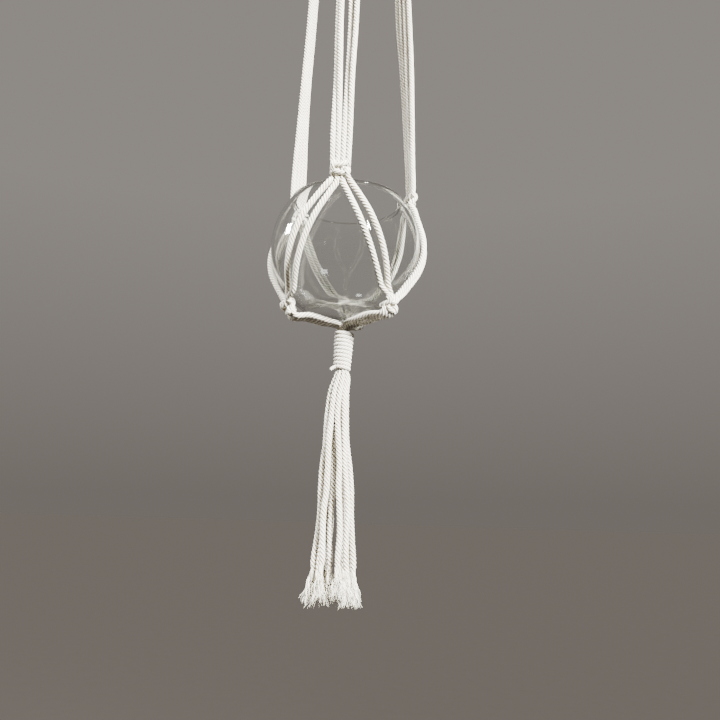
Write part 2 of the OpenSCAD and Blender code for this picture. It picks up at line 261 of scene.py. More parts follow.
def frayed_end_tree():
    """Opens the end of a cord into many fine yarns that keep the crimp of their plies."""
    graph, given = geometry_graph("frayed_end", [
        ("Yarns", "Int", 60), ("Root", "Float", 0.0015), ("Spread", "Float", 0.006),
        ("Yarn", "Float", 0.0002), ("Crimp", "Float", 0.0008), ("Lay", "Float", 0.012),
        ("Uneven", "Float", 0.25), ("Seed", "Int", 1), ("Cotton", "Material", None)])
    copies = graph.add("GeometryNodeDuplicateElements", {"domain": "SPLINE"}, {
        "Geometry": given["Geometry"], "Amount": given["Yarns"]})
    index = copies["Duplicate Index"]
    share = graph.add("GeometryNodeSplineParameter")["Factor"]
    along = graph.add("GeometryNodeSplineParameter")["Length"]
    seed = given["Seed"] * 7.0
    plies = 4.0

    # Each yarn starts somewhere inside the cord, bows outward and ends somewhere in the tuft
    angle = graph.random(0.0, TURN, index, seed)
    near = graph.random(0.05, 1.0, index, seed + 1.0) ** 0.5 * given["Root"]
    far = graph.random(0.1, 1.0, index, seed + 2.0) * given["Spread"]
    out = near * (1.0 - share * 0.4) + far * share ** 1.7
    bend = angle + graph.random(-0.5, 0.5, index, seed + 3.0) * share

    # The crimp keeps the turn of the ply that the yarn came from, and fades in from the cord's end
    ply = graph.math("MODULO", index, plies) + graph.random(-0.3, 0.3, index, seed + 4.0)
    crimp = ply * (TURN / plies) + along / given["Lay"] * TURN * graph.random(
        0.8, 1.25, index, seed + 5.0)
    swing = given["Crimp"] * graph.math("MINIMUM", share * 3.0, 1.0)
    shorter = graph.random(0.0, 1.0, index, seed + 6.0) * given["Uneven"]
    wander = graph.noise(graph.point(along * 90.0, index * 3.7, seed), 1.0, 1.0)["Color"]
    loose = graph.vector("SCALE", graph.vector("SUBTRACT", wander, (0.5, 0.5, 0.5)),
                         scale=share * given["Spread"] * 0.9)
    offset = graph.point(
        graph.math("COSINE", bend) * out + graph.math("COSINE", crimp) * swing,
        graph.math("SINE", bend) * out + graph.math("SINE", crimp) * swing,
        along * shorter)
    spread = graph.add("GeometryNodeSetPosition", None, {
        "Geometry": copies, "Offset": graph.vector("ADD", offset, loose)})
    line = graph.store(spread, "along", along)
    yarn = graph.add("GeometryNodeCurvePrimitiveCircle", {"mode": "RADIUS"}, {
        "Resolution": 5, "Radius": 1.0})
    sided = graph.store(yarn, "side", graph.add("GeometryNodeInputPosition"), "FLOAT_VECTOR")
    # An even crease value: every yarn takes the same small share of the cotton's painted shade
    # colour.
    creased = graph.store(sided, "crease", 0.1)
    uneven = graph.random(0.6, 1.3, index, seed + 8.0)
    thick = given["Yarn"] * uneven * (1.0 - share ** 3.0 * 0.6)
    tuft = graph.add("GeometryNodeCurveToMesh", None, {
        "Curve": line, "Profile Curve": creased, "Scale": thick, "Fill Caps": True})
    return close_graph(graph, tuft, given["Cotton"])


# ---- Finishes ----

def finish_graph(name):
    """A new material and the graph of its nodes, cleared."""
    material = bpy.data.materials.new(name)
    material.use_nodes = True
    material.node_tree.nodes.clear()
    return material, Graph(material.node_tree)


def dress(graph, values, volume=None):
    """Ends a material in a Principled shader with these values."""
    shader = graph.add("ShaderNodeBsdfPrincipled", None, values)
    output = {"Surface": shader}
    if volume:
        output["Volume"] = volume
    graph.add("ShaderNodeOutputMaterial", None, output)


def blend_colours(graph, share, a, b):
    """Colour a where the share is 0 and colour b where it is 1."""
    return graph.add("ShaderNodeMix", {"data_type": "RGBA"}, {"Factor": share, "A": a, "B": b})


def cotton(name, light, painted_shade, lay, fuzz=1.0):
    """Twisted cotton: fine yarns that run nearly straight along the cord, with painted shade
    between plies and between yarns.
    """
    material, graph = finish_graph(name)
    side = graph.add("ShaderNodeAttribute", {"attribute_name": "side"})["Vector"]
    along = graph.add("ShaderNodeAttribute", {"attribute_name": "along"})["Fac"]
    crease = graph.add("ShaderNodeAttribute", {"attribute_name": "crease"})["Fac"]
    straight = graph.add("ShaderNodeVectorRotate", {"rotation_type": "Z_AXIS"}, {
        "Vector": side, "Angle": along / lay * -TURN})
    run = graph.vector("ADD", graph.vector("SCALE", straight, scale=7.0),
                       graph.point(0.0, 0.0, along * 260.0))
    yarns = graph.noise(run, 1.0, 3.0, 0.6)
    place = graph.add("ShaderNodeTexCoord")["Object"]
    patches = graph.noise(place, 45.0, 3.0, 0.6)
    fluff = graph.noise(place, 2600.0, 2.0, 0.7)
    # Painted shade: the colour darkens towards the brown shade colour in the grooves between plies,
    # as far as the crease value goes.
    crease_shade_share = crease ** 0.5
    tone = blend_colours(graph, crease_shade_share, light, painted_shade)
    handled = tuple(0.86 * c for c in light[:3]) + (1,)
    worn = blend_colours(graph, (patches - 0.42) * 1.1, tone, handled)
    # The dark lines between the fine yarns are painted shade in the same brown colour.
    fine = blend_colours(graph, (0.62 - yarns) * 0.9, worn, painted_shade)
    height = yarns * 0.7 + fluff * 0.3 * fuzz
    bump = graph.add("ShaderNodeBump", None, {
        "Strength": 0.55, "Distance": 0.00035, "Height": height})
    dress(graph, {
        "Base Color": fine, "Roughness": 0.82 + yarns * 0.14, "Normal": bump,
        "Sheen Weight": 0.22, "Sheen Roughness": 0.45, "Sheen Tint": (1.0, 0.97, 0.92, 1),
        "Specular IOR Level": 0.25})
    return material


def blown_glass():
    """Clear soda glass with a faintly uneven face, greenish through its thick edges."""
    material, graph = finish_graph("clear_blown_glass")
    place = graph.add("ShaderNodeTexCoord")["Object"]
    sway = graph.noise(place, 22.0, 1.0, 0.4)
    bump = graph.add("ShaderNodeBump", None, {
        "Strength": 0.012, "Distance": 0.0006, "Height": sway})
    smear = graph.noise(place, 60.0, 3.0, 0.6)
    tint = graph.add("ShaderNodeVolumeAbsorption", None, {
        "Color": (0.62, 0.90, 0.80, 1), "Density": 18.0})
    dress(graph, {
        "Base Color": (1, 1, 1, 1), "Roughness": 0.004 + smear * 0.012, "IOR": 1.5,
        "Transmission Weight": 1.0, "Normal": bump}, tint)
    return material


def turned_wood():
    """Pale beech with its grain running across the ring, and a thin oil finish."""
    material, graph = finish_graph("turned_beech")
    place = graph.add("ShaderNodeTexCoord")["Object"]
    stretched = graph.vector("MULTIPLY", place, (20.0, 160.0, 120.0))
    streaks = graph.noise(stretched, 1.0, 4.0, 0.6)
    broad = graph.noise(graph.vector("MULTIPLY", place, (9.0, 90.0, 70.0)), 1.0, 2.0, 0.5)
    pores = graph.noise(graph.vector("MULTIPLY", place, (90.0, 900.0, 900.0)), 1.0, 1.0, 0.5)
    body = blend_colours(graph, (streaks - 0.4) * 1.3, (0.60, 0.40, 0.22, 1), (0.45, 0.28, 0.14, 1))
    rings = blend_colours(graph, (broad - 0.4) * 1.6, body, (0.66, 0.47, 0.28, 1))
    flecked = blend_colours(graph, (pores - 0.66) * 2.5, rings, (0.20, 0.11, 0.05, 1))
    bump = graph.add("ShaderNodeBump", None, {
        "Strength": 0.15, "Distance": 0.0001, "Height": streaks * 0.5 - pores * 0.2})
    dress(graph, {
        "Base Color": flecked, "Roughness": 0.42 + streaks * 0.2, "Normal": bump,
        "Coat Weight": 0.15, "Coat Roughness": 0.3})
    return material


def plain_floor():
    """Smooth pale plaster, a little uneven in tone."""
    material, graph = finish_graph("pale_floor")
    place = graph.add("ShaderNodeTexCoord")["Object"]
    grain = graph.noise(place, 3.0, 3.0, 0.5)
    tone = blend_colours(graph, grain, (0.58, 0.555, 0.53, 1), (0.62, 0.595, 0.57, 1))
    dress(graph, {"Base Color": tone, "Roughness": 0.9})
    return material


# Length in which the plies turn once round their cord
LAY = 0.0100
WRAP_LAY = 0.0068
YARN_LAY = 0.012
# Each cotton gets its own colour and a brown colour of painted shade for its creases and yarn
# lines.
COTTON = cotton(
    "natural_cotton_cord", (0.85, 0.84, 0.775, 1), (0.17, 0.11, 0.045, 1), LAY)
WRAP_COTTON = cotton(
    "wrap_cotton_cord", (0.86, 0.855, 0.81, 1), (0.24, 0.18, 0.10, 1), WRAP_LAY, 0.6)
YARN = cotton(
    "frayed_cotton_yarn", (0.85, 0.825, 0.735, 1), (0.28, 0.20, 0.10, 1), YARN_LAY, 0.4)
GLASS_FINISH = blown_glass()
WOOD = turned_wood()

TWISTED = twisted_cord_tree()
FRAYED = frayed_end_tree()


# ---- Making pieces ----

def link(name, data):
    piece = bpy.data.objects.new(name, data)
    bpy.context.scene.collection.objects.link(piece)
    return piece


def lay_along(name, lines, tree, **inputs):
    """Runs a node tree along lines of (x, y, z, radius) rows and keeps the result as a mesh."""
    curve = bpy.data.curves.new(name + "_line", "CURVE")
    curve.dimensions = "3D"
    for line in lines:
        spline = curve.splines.new("POLY")
        spline.points.add(len(line) - 1)
        spline.points.foreach_set("co", np.column_stack([line[:, :3], np.ones(len(line))]).ravel())
        spline.points.foreach_set("radius", np.ascontiguousarray(line[:, 3]))
    source = link(name + "_line", curve)
    modifier = source.modifiers.new("tree", "NODES")
    modifier.node_group = tree
    for item in tree.interface.items_tree:
        label = item.name.lower().replace(" ", "_")
        if item.in_out == "INPUT" and label in inputs:
            modifier[item.identifier] = inputs[label]
    graph = bpy.context.evaluated_depsgraph_get()
    mesh = bpy.data.meshes.new_from_object(
        source.evaluated_get(graph), preserve_all_data_layers=True, depsgraph=graph)
    source.modifiers.remove(modifier)
    bpy.data.objects.remove(source)
    bpy.data.curves.remove(curve)
    mesh.name = name
    return link(name, mesh)


def cord_piece(name, lines, material=COTTON, lay=LAY):
    """A piece of four-ply cord along the lines; each ply's radius is a share of the cord's."""
    return lay_along(name, lines, TWISTED, lay=lay, plies=4, facets=6, ply_share=0.49,
                     cotton=material)


def lathe(name, profile, material, steps=160):
    """Turns a profile of (radius, z) stops about the planter's axis, where it starts and ends."""
    rings = profile[1:-1]
    turns = [(math.cos(TURN * s / steps), math.sin(TURN * s / steps)) for s in range(steps)]
    points = [(0, 0, profile[0][1])]
    points += [(r * c, r * s, z) for r, z in rings for c, s in turns]
    points.append((0, 0, profile[-1][1]))
    faces = [(0, 1 + (s + 1) % steps, 1 + s) for s in range(steps)]
    for q in range(len(rings) - 1):
        a, b = 1 + q * steps, 1 + (q + 1) * steps
        faces += [(a + s, a + (s + 1) % steps, b + (s + 1) % steps, b + s) for s in range(steps)]
    last, a = len(points) - 1, 1 + (len(rings) - 1) * steps
    faces += [(last, a + s, a + (s + 1) % steps) for s in range(steps)]
    return plain_mesh(name, points, faces, material)


def plain_mesh(name, points, faces, material):
    mesh = bpy.data.meshes.new(name)
    mesh.from_pydata(points, [], faces)
    mesh.materials.append(material)
    mesh.polygons.foreach_set("use_smooth", [True] * len(mesh.polygons))
    mesh.update()
    return link(name, mesh)


# ---- Routes ----

def polar(az, radial, side, z):
    """A point given by its distance from the axis, sideways offset and height, at an azimuth."""
    c, s = math.cos(math.radians(az)), math.sin(math.radians(az))
    return np.array([radial * c - side * s, radial * s + side * c, z])


# Twelve strands in a ring touch when a strand is this share of the ring's radius
TOUCHING = math.sin(math.radians(15))


def packed(pack_r):
    """How far from the axis the strands run when they are squeezed into this radius."""
    return pack_r / (1 + TOUCHING)


def packed_strand_r(pack_r):
    """How thin each strand is squeezed there."""
    return pack_r * TOUCHING / (1 + TOUCHING)


def stop(point, radius):
    return np.append(point, radius)


STEP = 0.0009   # between the rows of a line


def smooth_line(stops, step=STEP):
    """Rows of (x, y, z, radius) every step along one smooth curve through the stops."""
    p = np.array(stops, float)
    gap = np.maximum(np.linalg.norm(np.diff(p[:, :3], axis=0), axis=1), 1e-7) ** 0.5
    slope = np.diff(p, axis=0) / gap[:, None]
    tangent = np.zeros_like(p)
    tangent[0], tangent[-1] = slope[0], slope[-1]
    inner = (p[2:] - p[:-2]) / (gap[1:] + gap[:-1])[:, None]
    tangent[1:-1] = slope[:-1] - inner + slope[1:]
    rows = []
    for a, b, ta, tb, g in zip(p, p[1:], tangent, tangent[1:], gap):
        count = max(4, int(np.linalg.norm(b[:3] - a[:3]) / step * 2))
        t = np.linspace(0, 1, count, endpoint=False)[:, None]
        rows.append((2 * t**3 - 3 * t**2 + 1) * a + (t**3 - 2 * t**2 + t) * g * ta
                    + (3 * t**2 - 2 * t**3) * b + (t**3 - t**2) * g * tb)
    fine = np.vstack(rows + [p[-1:]])
    run = np.concatenate([[0], np.cumsum(np.linalg.norm(np.diff(fine[:, :3], axis=0), axis=1))])
    marks = np.linspace(0, run[-1], max(4, int(run[-1] / step)))
    return np.column_stack([np.interp(marks, run, fine[:, c]) for c in range(4)])


# One working cord through half a square knot, as (across, outward, up) from the knot's middle:
# down the left, over the front of the two fillers, and back through the other cord's loop
HALF_KNOT = np.array([
    (-5.0, -0.3, 4.9), (-4.9, 0.9, 2.9), (-2.9, 2.3, 2.0), (0.0, 2.75, 2.1), (2.2, 2.2, 2.9),
    (3.4, 1.0, 4.2), (3.7, -1.2, 4.8), (4.2, -3.2, 3.2), (4.6, -2.6, 1.2)]) / 1000
HALF_KNOT_DROP = 0.0052   # from the first half down to the second


def knot_stops(az, radial, z, slot, tilt=0.0, snug=1.0):
    """A strand's stops through a square knot: working cords cross twice, fillers run straight."""
    if abs(slot) < 1:
        local = np.array([(slot * GRIP_PITCH, 0, h) for h in (0.0045, 0.0015, -0.0015, -0.0045)])
    else:
        front = 1 if slot < 0 else -1
        first = HALF_KNOT * (front, front, 1)
        second = HALF_KNOT * (-front, front, 1) - (0, 0, HALF_KNOT_DROP)
        local = np.vstack([first, second])
    c, s = math.cos(math.radians(tilt)), math.sin(math.radians(tilt))
    return [stop(polar(az, radial + out * c + up * s, across, z - out * s + up * c), KNOT_CORD_R)
            for across, out, up in local * np.array([1, snug, 1])]


# How far the (inner, outer) strands of a pair bow apart over the glass: for each arm, its left
# pair and then its right one
PAIR_BOW = [
    [(0.0018, 0.0027), (0.0018, 0.0023)],
    [(0.0007, 0.0007), (0.0003, 0.0003)],
    [(0.0002, 0.0002), (0.0011, 0.0011)],
]


def net_stops(k, side, i):
    """An inner (1) or outer (2) strand's stops over the glass, with its lower knot and slot there.

    It leaves its upper knot in a straight line, lies on the glass along the shortest way, and
    leaves the glass in a straight line to the lower knot.
    """
    j = k if side > 0 else (k + 2) % 3
    middle = np.array([0, 0, BOWL_Z])
    knot_z = UPPER_KNOT_Z + ARM_RISE[k]
    # Where it leaves and enters, in grip pitches from the knots' middles
    from_slot = side * (0.35 if i == 1 else 1.7)
    to_slot = -side * (1.5 if i == 1 else 0.5)
    a = polar(ARM_AZ[k], UPPER_KNOT_R, from_slot * GRIP_PITCH, knot_z - 0.0064) - middle
    b = polar(KNOT_AZ[j], LOWER_KNOT_R[j], to_slot * GRIP_PITCH, LOWER_KNOT_Z[j] + 0.001) - middle
    size_a, size_b = np.linalg.norm(a), np.linalg.norm(b)
    whole = math.acos(a @ b / size_a / size_b)
    lift_a, lift_b = math.acos(HUG_R / size_a), math.acos(HUG_R / size_b)
    across = np.cross(a, b)
    across /= np.linalg.norm(across)
    onward = np.cross(across, a / size_a)
    apart = (-1 if i == 1 else 1) * math.copysign(PAIR_BOW[k][side > 0][i - 1], across[2])
    stops = []
    for t in (0.015, 0.1, 0.19, 0.28, 0.36, 0.44, 0.52, 0.6, 0.68, 0.76, 0.83, 0.885):
        turn = t * whole
        reach = HUG_R
        if turn < lift_a:
            reach = HUG_R / math.cos(lift_a - turn)
        elif turn > whole - lift_b:
            reach = HUG_R / math.cos(turn - whole + lift_b)
        point = (middle + reach * (math.cos(turn) * a / size_a + math.sin(turn) * onward)
                 + apart * math.sin(math.pi * t) ** 0.7 * across)
        stops.append(stop(point, SHOWN_R))
    return stops, j, to_slot


# How far each strand of an arm strays from a straight fall, in millimetres, as (sideways,
# outward) at each of the shares of the fall in SWAY_STOPS. Higher up the last of the three fades
# out: SWAY_FADE pairs a share of the fall with how much of it is left.
ARM_SWAY = [
    [[(0.5, -1.5), (0.1, -1.8), (-0.2, -1.7)], [(-0.6, 1.4), (-0.9, 1.8), (-1.0, 1.7)],
     [(0.7, -1.6), (1.3, -1.6), (1.4, -1.2)], [(0.7, 1.5), (1.6, 1.7), (1.9, 1.4)]],
    [[(-0.2, 1.2), (-0.4, 2.0), (-0.5, 2.2)], [(0.1, 0.0), (0.2, 0.1), (0.2, 0.3)],
     [(-0.1, -0.2), (0.2, -0.6), (0.4, -1.2)], [(0.2, -0.2), (0.5, -0.8), (0.8, -1.9)]],
    [[(-0.3, 2.3), (-0.2, 3.4), (-0.4, 3.4)], [(0.1, 1.2), (0.2, 1.9), (0.1, 1.5)],
     [(0.0, 0.3), (0.0, 0.1), (0.0, -0.6)], [(0.2, -1.0), (0.3, -1.5), (0.2, -2.4)]],
]
SWAY_STOPS = [0.945, 0.895, 0.845]
SWAY_FADE = [(0.76, 0.9), (0.64, 0.5), (0.5, -0.2), (0.36, 0.3), (0.22, 0.2), (0.1, 0.1)]


def strand_line(k, i):
    """A whole strand: out of the top wrap, down its arm, through both knots and round the bowl."""
    s = SLOTS[i - 1]
    az, leave_az = ARM_AZ[k], ARM_SECTOR[k] + 30 * s
    tuck, thin = packed(TOP_PACK_R), packed_strand_r(TOP_PACK_R)
    loose = 0.0019 / TOUCHING + 0.0003   # out of the wrap the strands swell and move apart
    knot_z = UPPER_KNOT_Z + ARM_RISE[k]
    high = polar(leave_az, loose, 0, TOP_MOUTH_Z - 0.026)
    low = polar(az, UPPER_KNOT_R - 0.0008, s * 0.0035, knot_z + 0.025)
    stops = [
        stop(polar(leave_az, tuck, 0, TOP_MOUTH_Z + 0.004), thin),
        stop(polar(leave_az, tuck * 1.02, 0, TOP_MOUTH_Z - 0.003), thin * 1.05),
        stop(high, TAUT_R),
    ]
    stray = np.array(ARM_SWAY[k][i - 1]) / 1000
    shifts = [(share, stray[2] * left) for share, left in reversed(SWAY_FADE)]
    shifts += reversed(list(zip(SWAY_STOPS, stray)))
    for number, (share, shift) in enumerate(shifts):
        wobble = 0.0002 * math.sin(2.1 * number + 1.7 * i + k)
        at = high + (low - high) * share
        stops.append(stop(at + polar(az, shift[1], shift[0] + wobble, 0), TAUT_R))
    entry = polar(az, UPPER_KNOT_R, s * GRIP_PITCH * 1.05, knot_z + 0.0085)
    stops += [stop(low, TAUT_R), stop(entry, 0.00165)]
    stops += knot_stops(az, UPPER_KNOT_R, knot_z, s, snug=UPPER_SNUG[k])
    side, inner = (1 if s > 0 else -1), (1 if abs(s) < 1 else 2)
    over_glass, j, low_slot = net_stops(k, side, inner)
    stops += over_glass
    stops += knot_stops(KNOT_AZ[j], LOWER_KNOT_R[j], LOWER_KNOT_Z[j], low_slot,
                        tilt=LOWER_TILT, snug=LOWER_SNUG)
    return smooth_line(stops)


def base_lines(j):
    """The four strands from a lower knot, side by side under the base and into the bottom wrap."""
    tuck, thin = packed(GATHER_PACK_R), packed_strand_r(GATHER_PACK_R)
    az = KNOT_AZ[j]
    c, s = math.cos(math.radians(LOWER_TILT)), math.sin(math.radians(LOWER_TILT))
    lines = []
    knot_r, knot_z = LOWER_KNOT_R[j], LOWER_KNOT_Z[j]
    for slot in SLOTS:
        exit_side, gather_az = slot * GRIP_PITCH, az + 30 * slot
        near = 0.0004 * (1.5 - abs(slot)) * (LOWS[j] != "rear")
        stops = [
            stop(polar(az, knot_r - 0.0022 * s, exit_side, knot_z - 0.0022 * c), GRIP_R),
            stop(polar(az, knot_r - 0.0062 * s, exit_side, knot_z - 0.0062 * c), 0.0017),
            stop(polar(az, BASE_R + 0.001, slot * 0.0038, BASE_Z - BASE_SAG[j] - near), SHOWN_R),
            stop(polar(az, 0.013, slot * 0.0037, GATHER_Z + 0.0045 - near * 0.5), 0.00182),
            stop(polar(az, 0.0086, slot * 0.0034, GATHER_Z + 0.0041), 0.00164),
            stop(polar(gather_az, 0.0054, 0, GATHER_Z + 0.0029), 0.00124),
            stop(polar(gather_az, tuck * 1.08, 0, GATHER_Z + 0.0003), thin),
            stop(polar(gather_az, tuck, 0, GATHER_Z - 0.003), thin),
        ]
        lines.append(smooth_line(stops))
    return lines


# The tassel's strands 1 to 12, in millimetres: how far each end drifts as (x, y), how much longer
# each one is cut, how far it strays sideways by the middle of its fall, and its end besides
DRIFT = [
    (0.5, 0.2), (-0.4, 0.5), (0, -0.5), (0.5, 0.4), (-0.3, 0.8), (-0.8, 0.3),
    (-0.6, -0.2), (-0.7, -0.7), (0.2, -0.8), (0.9, -0.4), (0.8, 0.6), (0.2, 0.9)]
EXTRA = [0, 1, -2, 2, -1, -3, -4, 0, 1, 2, -1, 0]
STRAY = [0.3, -2.4, -3.8, -3.6, -3.8, -4.0, -0.2, -0.4, 0.2, 0.3, -0.6, -3.2]
FLARE = [0, 0, 0, -2.8, -4.2, -1.2, 0.3, 0.4, 1.6, 0.8, 0, -0.6]
TASSEL_LEAN = -2.8                            # of them all, just below the wrap
SIDEWAYS = np.array([0.986, 0.167, 0])
TASSEL_LEN = 0.146
FRAY_LEN = 0.020
TASSEL_THIN = GATHER_PACK_R / 4

# How a strand moves out from the axis: shares of its length, and the spread at each
FALL = [0, 0.014, 0.06, 0.2, 0.42, 0.62, 0.82, 1]
SPREAD = [0.95 * TASSEL_THIN] + [CORD_R / 2 * f for f in (1.25, 1.52, 2.02, 2.45, 2.75, 2.95, 3.15)]


def ease(t):
    """Goes smoothly from 0 to 1 as t does, and stays there."""
    t = min(max(t, 0), 1)
    return t * t * (3 - 2 * t)


def tassel_point(i, t):
    """Where a tassel strand is at a share t of its length.

    The whole tassel leans in the first 0.14 of it, each strand goes its own way between 0.2 and
    0.65, and the ends flare from 0.66 on.
    """
    stray = (TASSEL_LEAN * ease(t / 0.14) + (STRAY[i - 1] - TASSEL_LEAN) * ease((t - 0.2) / 0.45)
             + FLARE[i - 1] * max(0, (t - 0.66) / 0.34) ** 1.5) / 1000
    # Three strands in the middle and nine round them; each begins a little inside the wrap
    az, ring = (120 * i - 90, 1.155) if i <= 3 else (40 * i + 10, 3.03)
    start = 0.0005 if t == 0 else 0
    drift = np.array([*DRIFT[i - 1], 0]) / 1000
    length = TASSEL_LEN + EXTRA[i - 1] / 1000
    straight = polar(az, np.interp(t, FALL, SPREAD) * ring, 0, TASSEL_Z + start - t * length)
    return straight + t**2 * drift + SIDEWAYS * stray


def tassel_lines(i):
    """The twisted stretch of a tassel strand and the line that its frayed end follows."""
    length = TASSEL_LEN + EXTRA[i - 1] / 1000
    cut = 1 - FRAY_LEN / length
    shares = [0, 0.014, 0.035, 0.09, 0.2, 0.31, 0.42, 0.52, 0.62, 0.72, cut - 0.03, cut]
    thin = TASSEL_THIN * 0.98
    stops = []
    for n, t in enumerate(shares):
        radius = min(SHOWN_R, thin + t * 0.022)
        sway = 0.0 if t < 0.05 else 0.0005 * math.sin(1.9 * n + 2.3 * i) * min(1, t * 3)
        stops.append(stop(tassel_point(i, t) + (sway, 0.6 * sway * math.cos(i), 0), radius))
    stops[-1][3] = 0.0015
    twisted = smooth_line(stops)
    # The frayed end begins a little inside the twisted stretch, on that stretch's own line
    start = cut - 0.02
    fray = [stop(tassel_point(i, start + (1 - start) * q), 1.0) for q in np.linspace(0, 1, 5)]
    fray[0][:3] = twisted[-int(0.003 / STEP)][:3]
    return twisted, smooth_line(fray, 0.0024)


def helix(start_z, end_z, turns, radius_at, thick, az, lean=(0.0, 0.0)):
    """A winding about the axis from one height to another, its ends off the axis by lean."""
    count = int(turns * 40)
    t = np.linspace(0, 1, count + 1)
    angle = math.radians(az) + TURN * turns * t
    radius = np.array([radius_at(share) for share in t])
    return np.column_stack([
        radius * np.cos(angle) + np.interp(t, [0, 1], lean), radius * np.sin(angle),
        start_z + (end_z - start_z) * t, np.full(count + 1, thick)])


# ---- Camera ----

def place_camera():
    """The viewing angle: below the bowl and looking up, with the bowl above the middle."""
    distance, height = 0.4619, -0.1628
    yaw, pitch, roll, round_axis = (math.radians(v) for v in (-1.41, 10.82, 1.4, 11.0))
    ahead = Vector((-math.sin(yaw) * math.cos(pitch), math.cos(yaw) * math.cos(pitch),
                    math.sin(pitch)))
    up = Vector((math.sin(yaw) * math.sin(pitch), -math.cos(yaw) * math.sin(pitch),
                 math.cos(pitch)))
    right = Vector((math.cos(yaw), math.sin(yaw), 0))
    right, up = (right * math.cos(roll) + up * math.sin(roll),
                 up * math.cos(roll) - right * math.sin(roll))
    pose = Matrix((right, up, -ahead)).transposed().to_4x4()
    pose.translation = Vector((0, -distance, height))
    data = bpy.data.cameras.new("camera")
    data.sensor_width, data.lens = 36, 36
    data.clip_start = 0.01
    camera = link("camera", data)
    turned = Matrix.Rotation(round_axis, 4, "Z") @ pose
    camera.matrix_world = Matrix.Translation((0, 0, BOWL_Z)) @ turned
    bpy.context.scene.camera = camera


place_camera()


# ---- Tassel ----

for i in range(1, 13):
    twisted, fray = tassel_lines(i)
    strand = cord_piece(f"tassel_strand_{i}", [twisted])
    tuft = lay_along(f"frayed_end_{i}", [fray], FRAYED, yarns=64, root=0.0014, spread=0.0047,
                     yarn=0.00021, crimp=0.0008, lay=0.013, uneven=0.3, seed=i, cotton=YARN)
    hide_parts(f"tassel_cord_{i}")
    TASSEL_Z - 0.03
    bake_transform(strand)
    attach(tuft, "tassel")
    length = float(np.linalg.norm(np.diff(twisted[:, :3], axis=0), axis=1).sum())
    path = [list(p[:3]) for p in twisted[::6]] + [list(twisted[-1][:3])]
    twisted[0][:3]


# ---- Strands of the arms, knots and net ----

for k in range(3):
    for i in range(1, 5):
        s = SLOTS[i - 1]
        side, inner = ("r" if s > 0 else "l"), (1 if abs(s) < 1 else 2)
        strand = cord_piece(f"strand_{SIDES[k]}_{i}", [strand_line(k, i)])
        covered = [f"arm_{SIDES[k]}_{i}", f"net_{SIDES[k]}_{side}{inner}"]
        if i == 1:
            covered.append(f"upper_knot_{SIDES[k]}")
        if (side, inner) == ("r", 1):
            covered.append(f"lower_knot_{LOWS[k]}")
        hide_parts(*covered)
        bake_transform(strand)

for j in range(3):
    strands = cord_piece(f"base_strands_{LOWS[j]}", base_lines(j))
    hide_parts(f"base_cords_{LOWS[j]}")
    GATHER_Z + 0.006
    GATHER_Z - 0.001
    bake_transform(strands)


# ---- Wraps ----

def wrap_radius(bottom_r, taper=0.0):
    """The radius of a wrap at a share of its height, with no two turns pulled quite alike."""
    return lambda share: bottom_r + taper * (1 - share) + 0.00006 * math.sin(41 * share)


TOP_TURNS, BOTTOM_TURNS = 12, 11
top_bead = TOP_WRAP_LEN / TOP_TURNS
winding = helix(TOP_WRAP_Z - top_bead / 2, TOP_MOUTH_Z + top_bead / 2, TOP_TURNS - 0.9,
                wrap_radius(TOP_BORE_R + 0.0011), top_bead * 0.54, az=30)
wrap = cord_piece("top_wrap_cord", [winding], WRAP_COTTON, WRAP_LAY)
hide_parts("top_wrap")
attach(wrap, "head")

bottom_bead = GATHER_LEN / BOTTOM_TURNS
winding = helix(GATHER_Z - bottom_bead / 2, TASSEL_Z + bottom_bead / 2, BOTTOM_TURNS - 0.9,
                wrap_radius(GATHER_BORE_R + 0.0004, WRAP_TAPER), bottom_bead * 0.52, az=60,
                lean=(0.0007, -0.0004))
wrap = cord_piece("bottom_wrap_cord", [winding], WRAP_COTTON, WRAP_LAY)
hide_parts("bottom_wrap")
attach(wrap, "gather")

# The cut end of the lower wrap's cord, which stands out just above the tassel
END_AZ, END_Z = 215, TASSEL_Z + 0.0024
end_line = smooth_line([
    stop(polar(END_AZ, 0.0040, 0.0012, END_Z + 0.0004), 0.0011),
    stop(polar(END_AZ, 0.0060, 0.0004, END_Z), 0.0011),
    stop(polar(END_AZ, 0.0072, -0.0001, END_Z - 0.0008), 0.0011),
    stop(polar(END_AZ, 0.0082, -0.0003, END_Z - 0.0018), 0.0010)], 0.0004)
end = cord_piece("wrap_cord_end", [end_line], WRAP_COTTON, WRAP_LAY)
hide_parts("wrap_end")
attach(end, "gather")


# ---- Strands inside the wraps ----

def bundle_lines(pack_r, top, bottom):
    """The twelve strands squeezed in a ring, and four thicker lines that fill its middle."""
    thin = packed_strand_r(pack_r)
    fat = (pack_r - 2 * thin) * 0.42
    places = [(30 * n + 15, packed(pack_r), thin) for n in range(12)]
    places += [(90 * n, fat * 1.2, fat) for n in range(4)]
    heights = np.linspace(top, bottom, 5)
    return [smooth_line([stop(polar(az, reach, 0, z), radius) for z in heights])
            for az, reach, radius in places]


bundle = cord_piece("bundle_in_top_wrap", bundle_lines(TOP_PACK_R, TOP_WRAP_Z, TOP_MOUTH_Z + 0.002))
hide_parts("top_bundle")
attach(bundle, "head")
bundle = cord_piece("bundle_in_bottom_wrap",
                    bundle_lines(GATHER_PACK_R, GATHER_Z - 0.002, TASSEL_Z + 0.002))
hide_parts("gather_bundle")
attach(bundle, "gather")


# ---- Folded cords over the ring ----

# Neighbouring folds are one pitch apart where they are closest, inside the ring
FOLD_PITCH, FOLD_INSIDE_R = 0.0044, 0.0156
FOLD_STEP = 2 * math.asin(FOLD_PITCH / 2 / FOLD_INSIDE_R)
FOLD_R = RING_BAR_R + GAP + CORD_R


def fold_slot(m, face, z):
    """Where fold m's leg on the front (-1) or back (1) of the ring enters the top wrap."""
    return polar(195 + 30 * m if face < 0 else 165 - 30 * m, packed(TOP_PACK_R), 0, z)


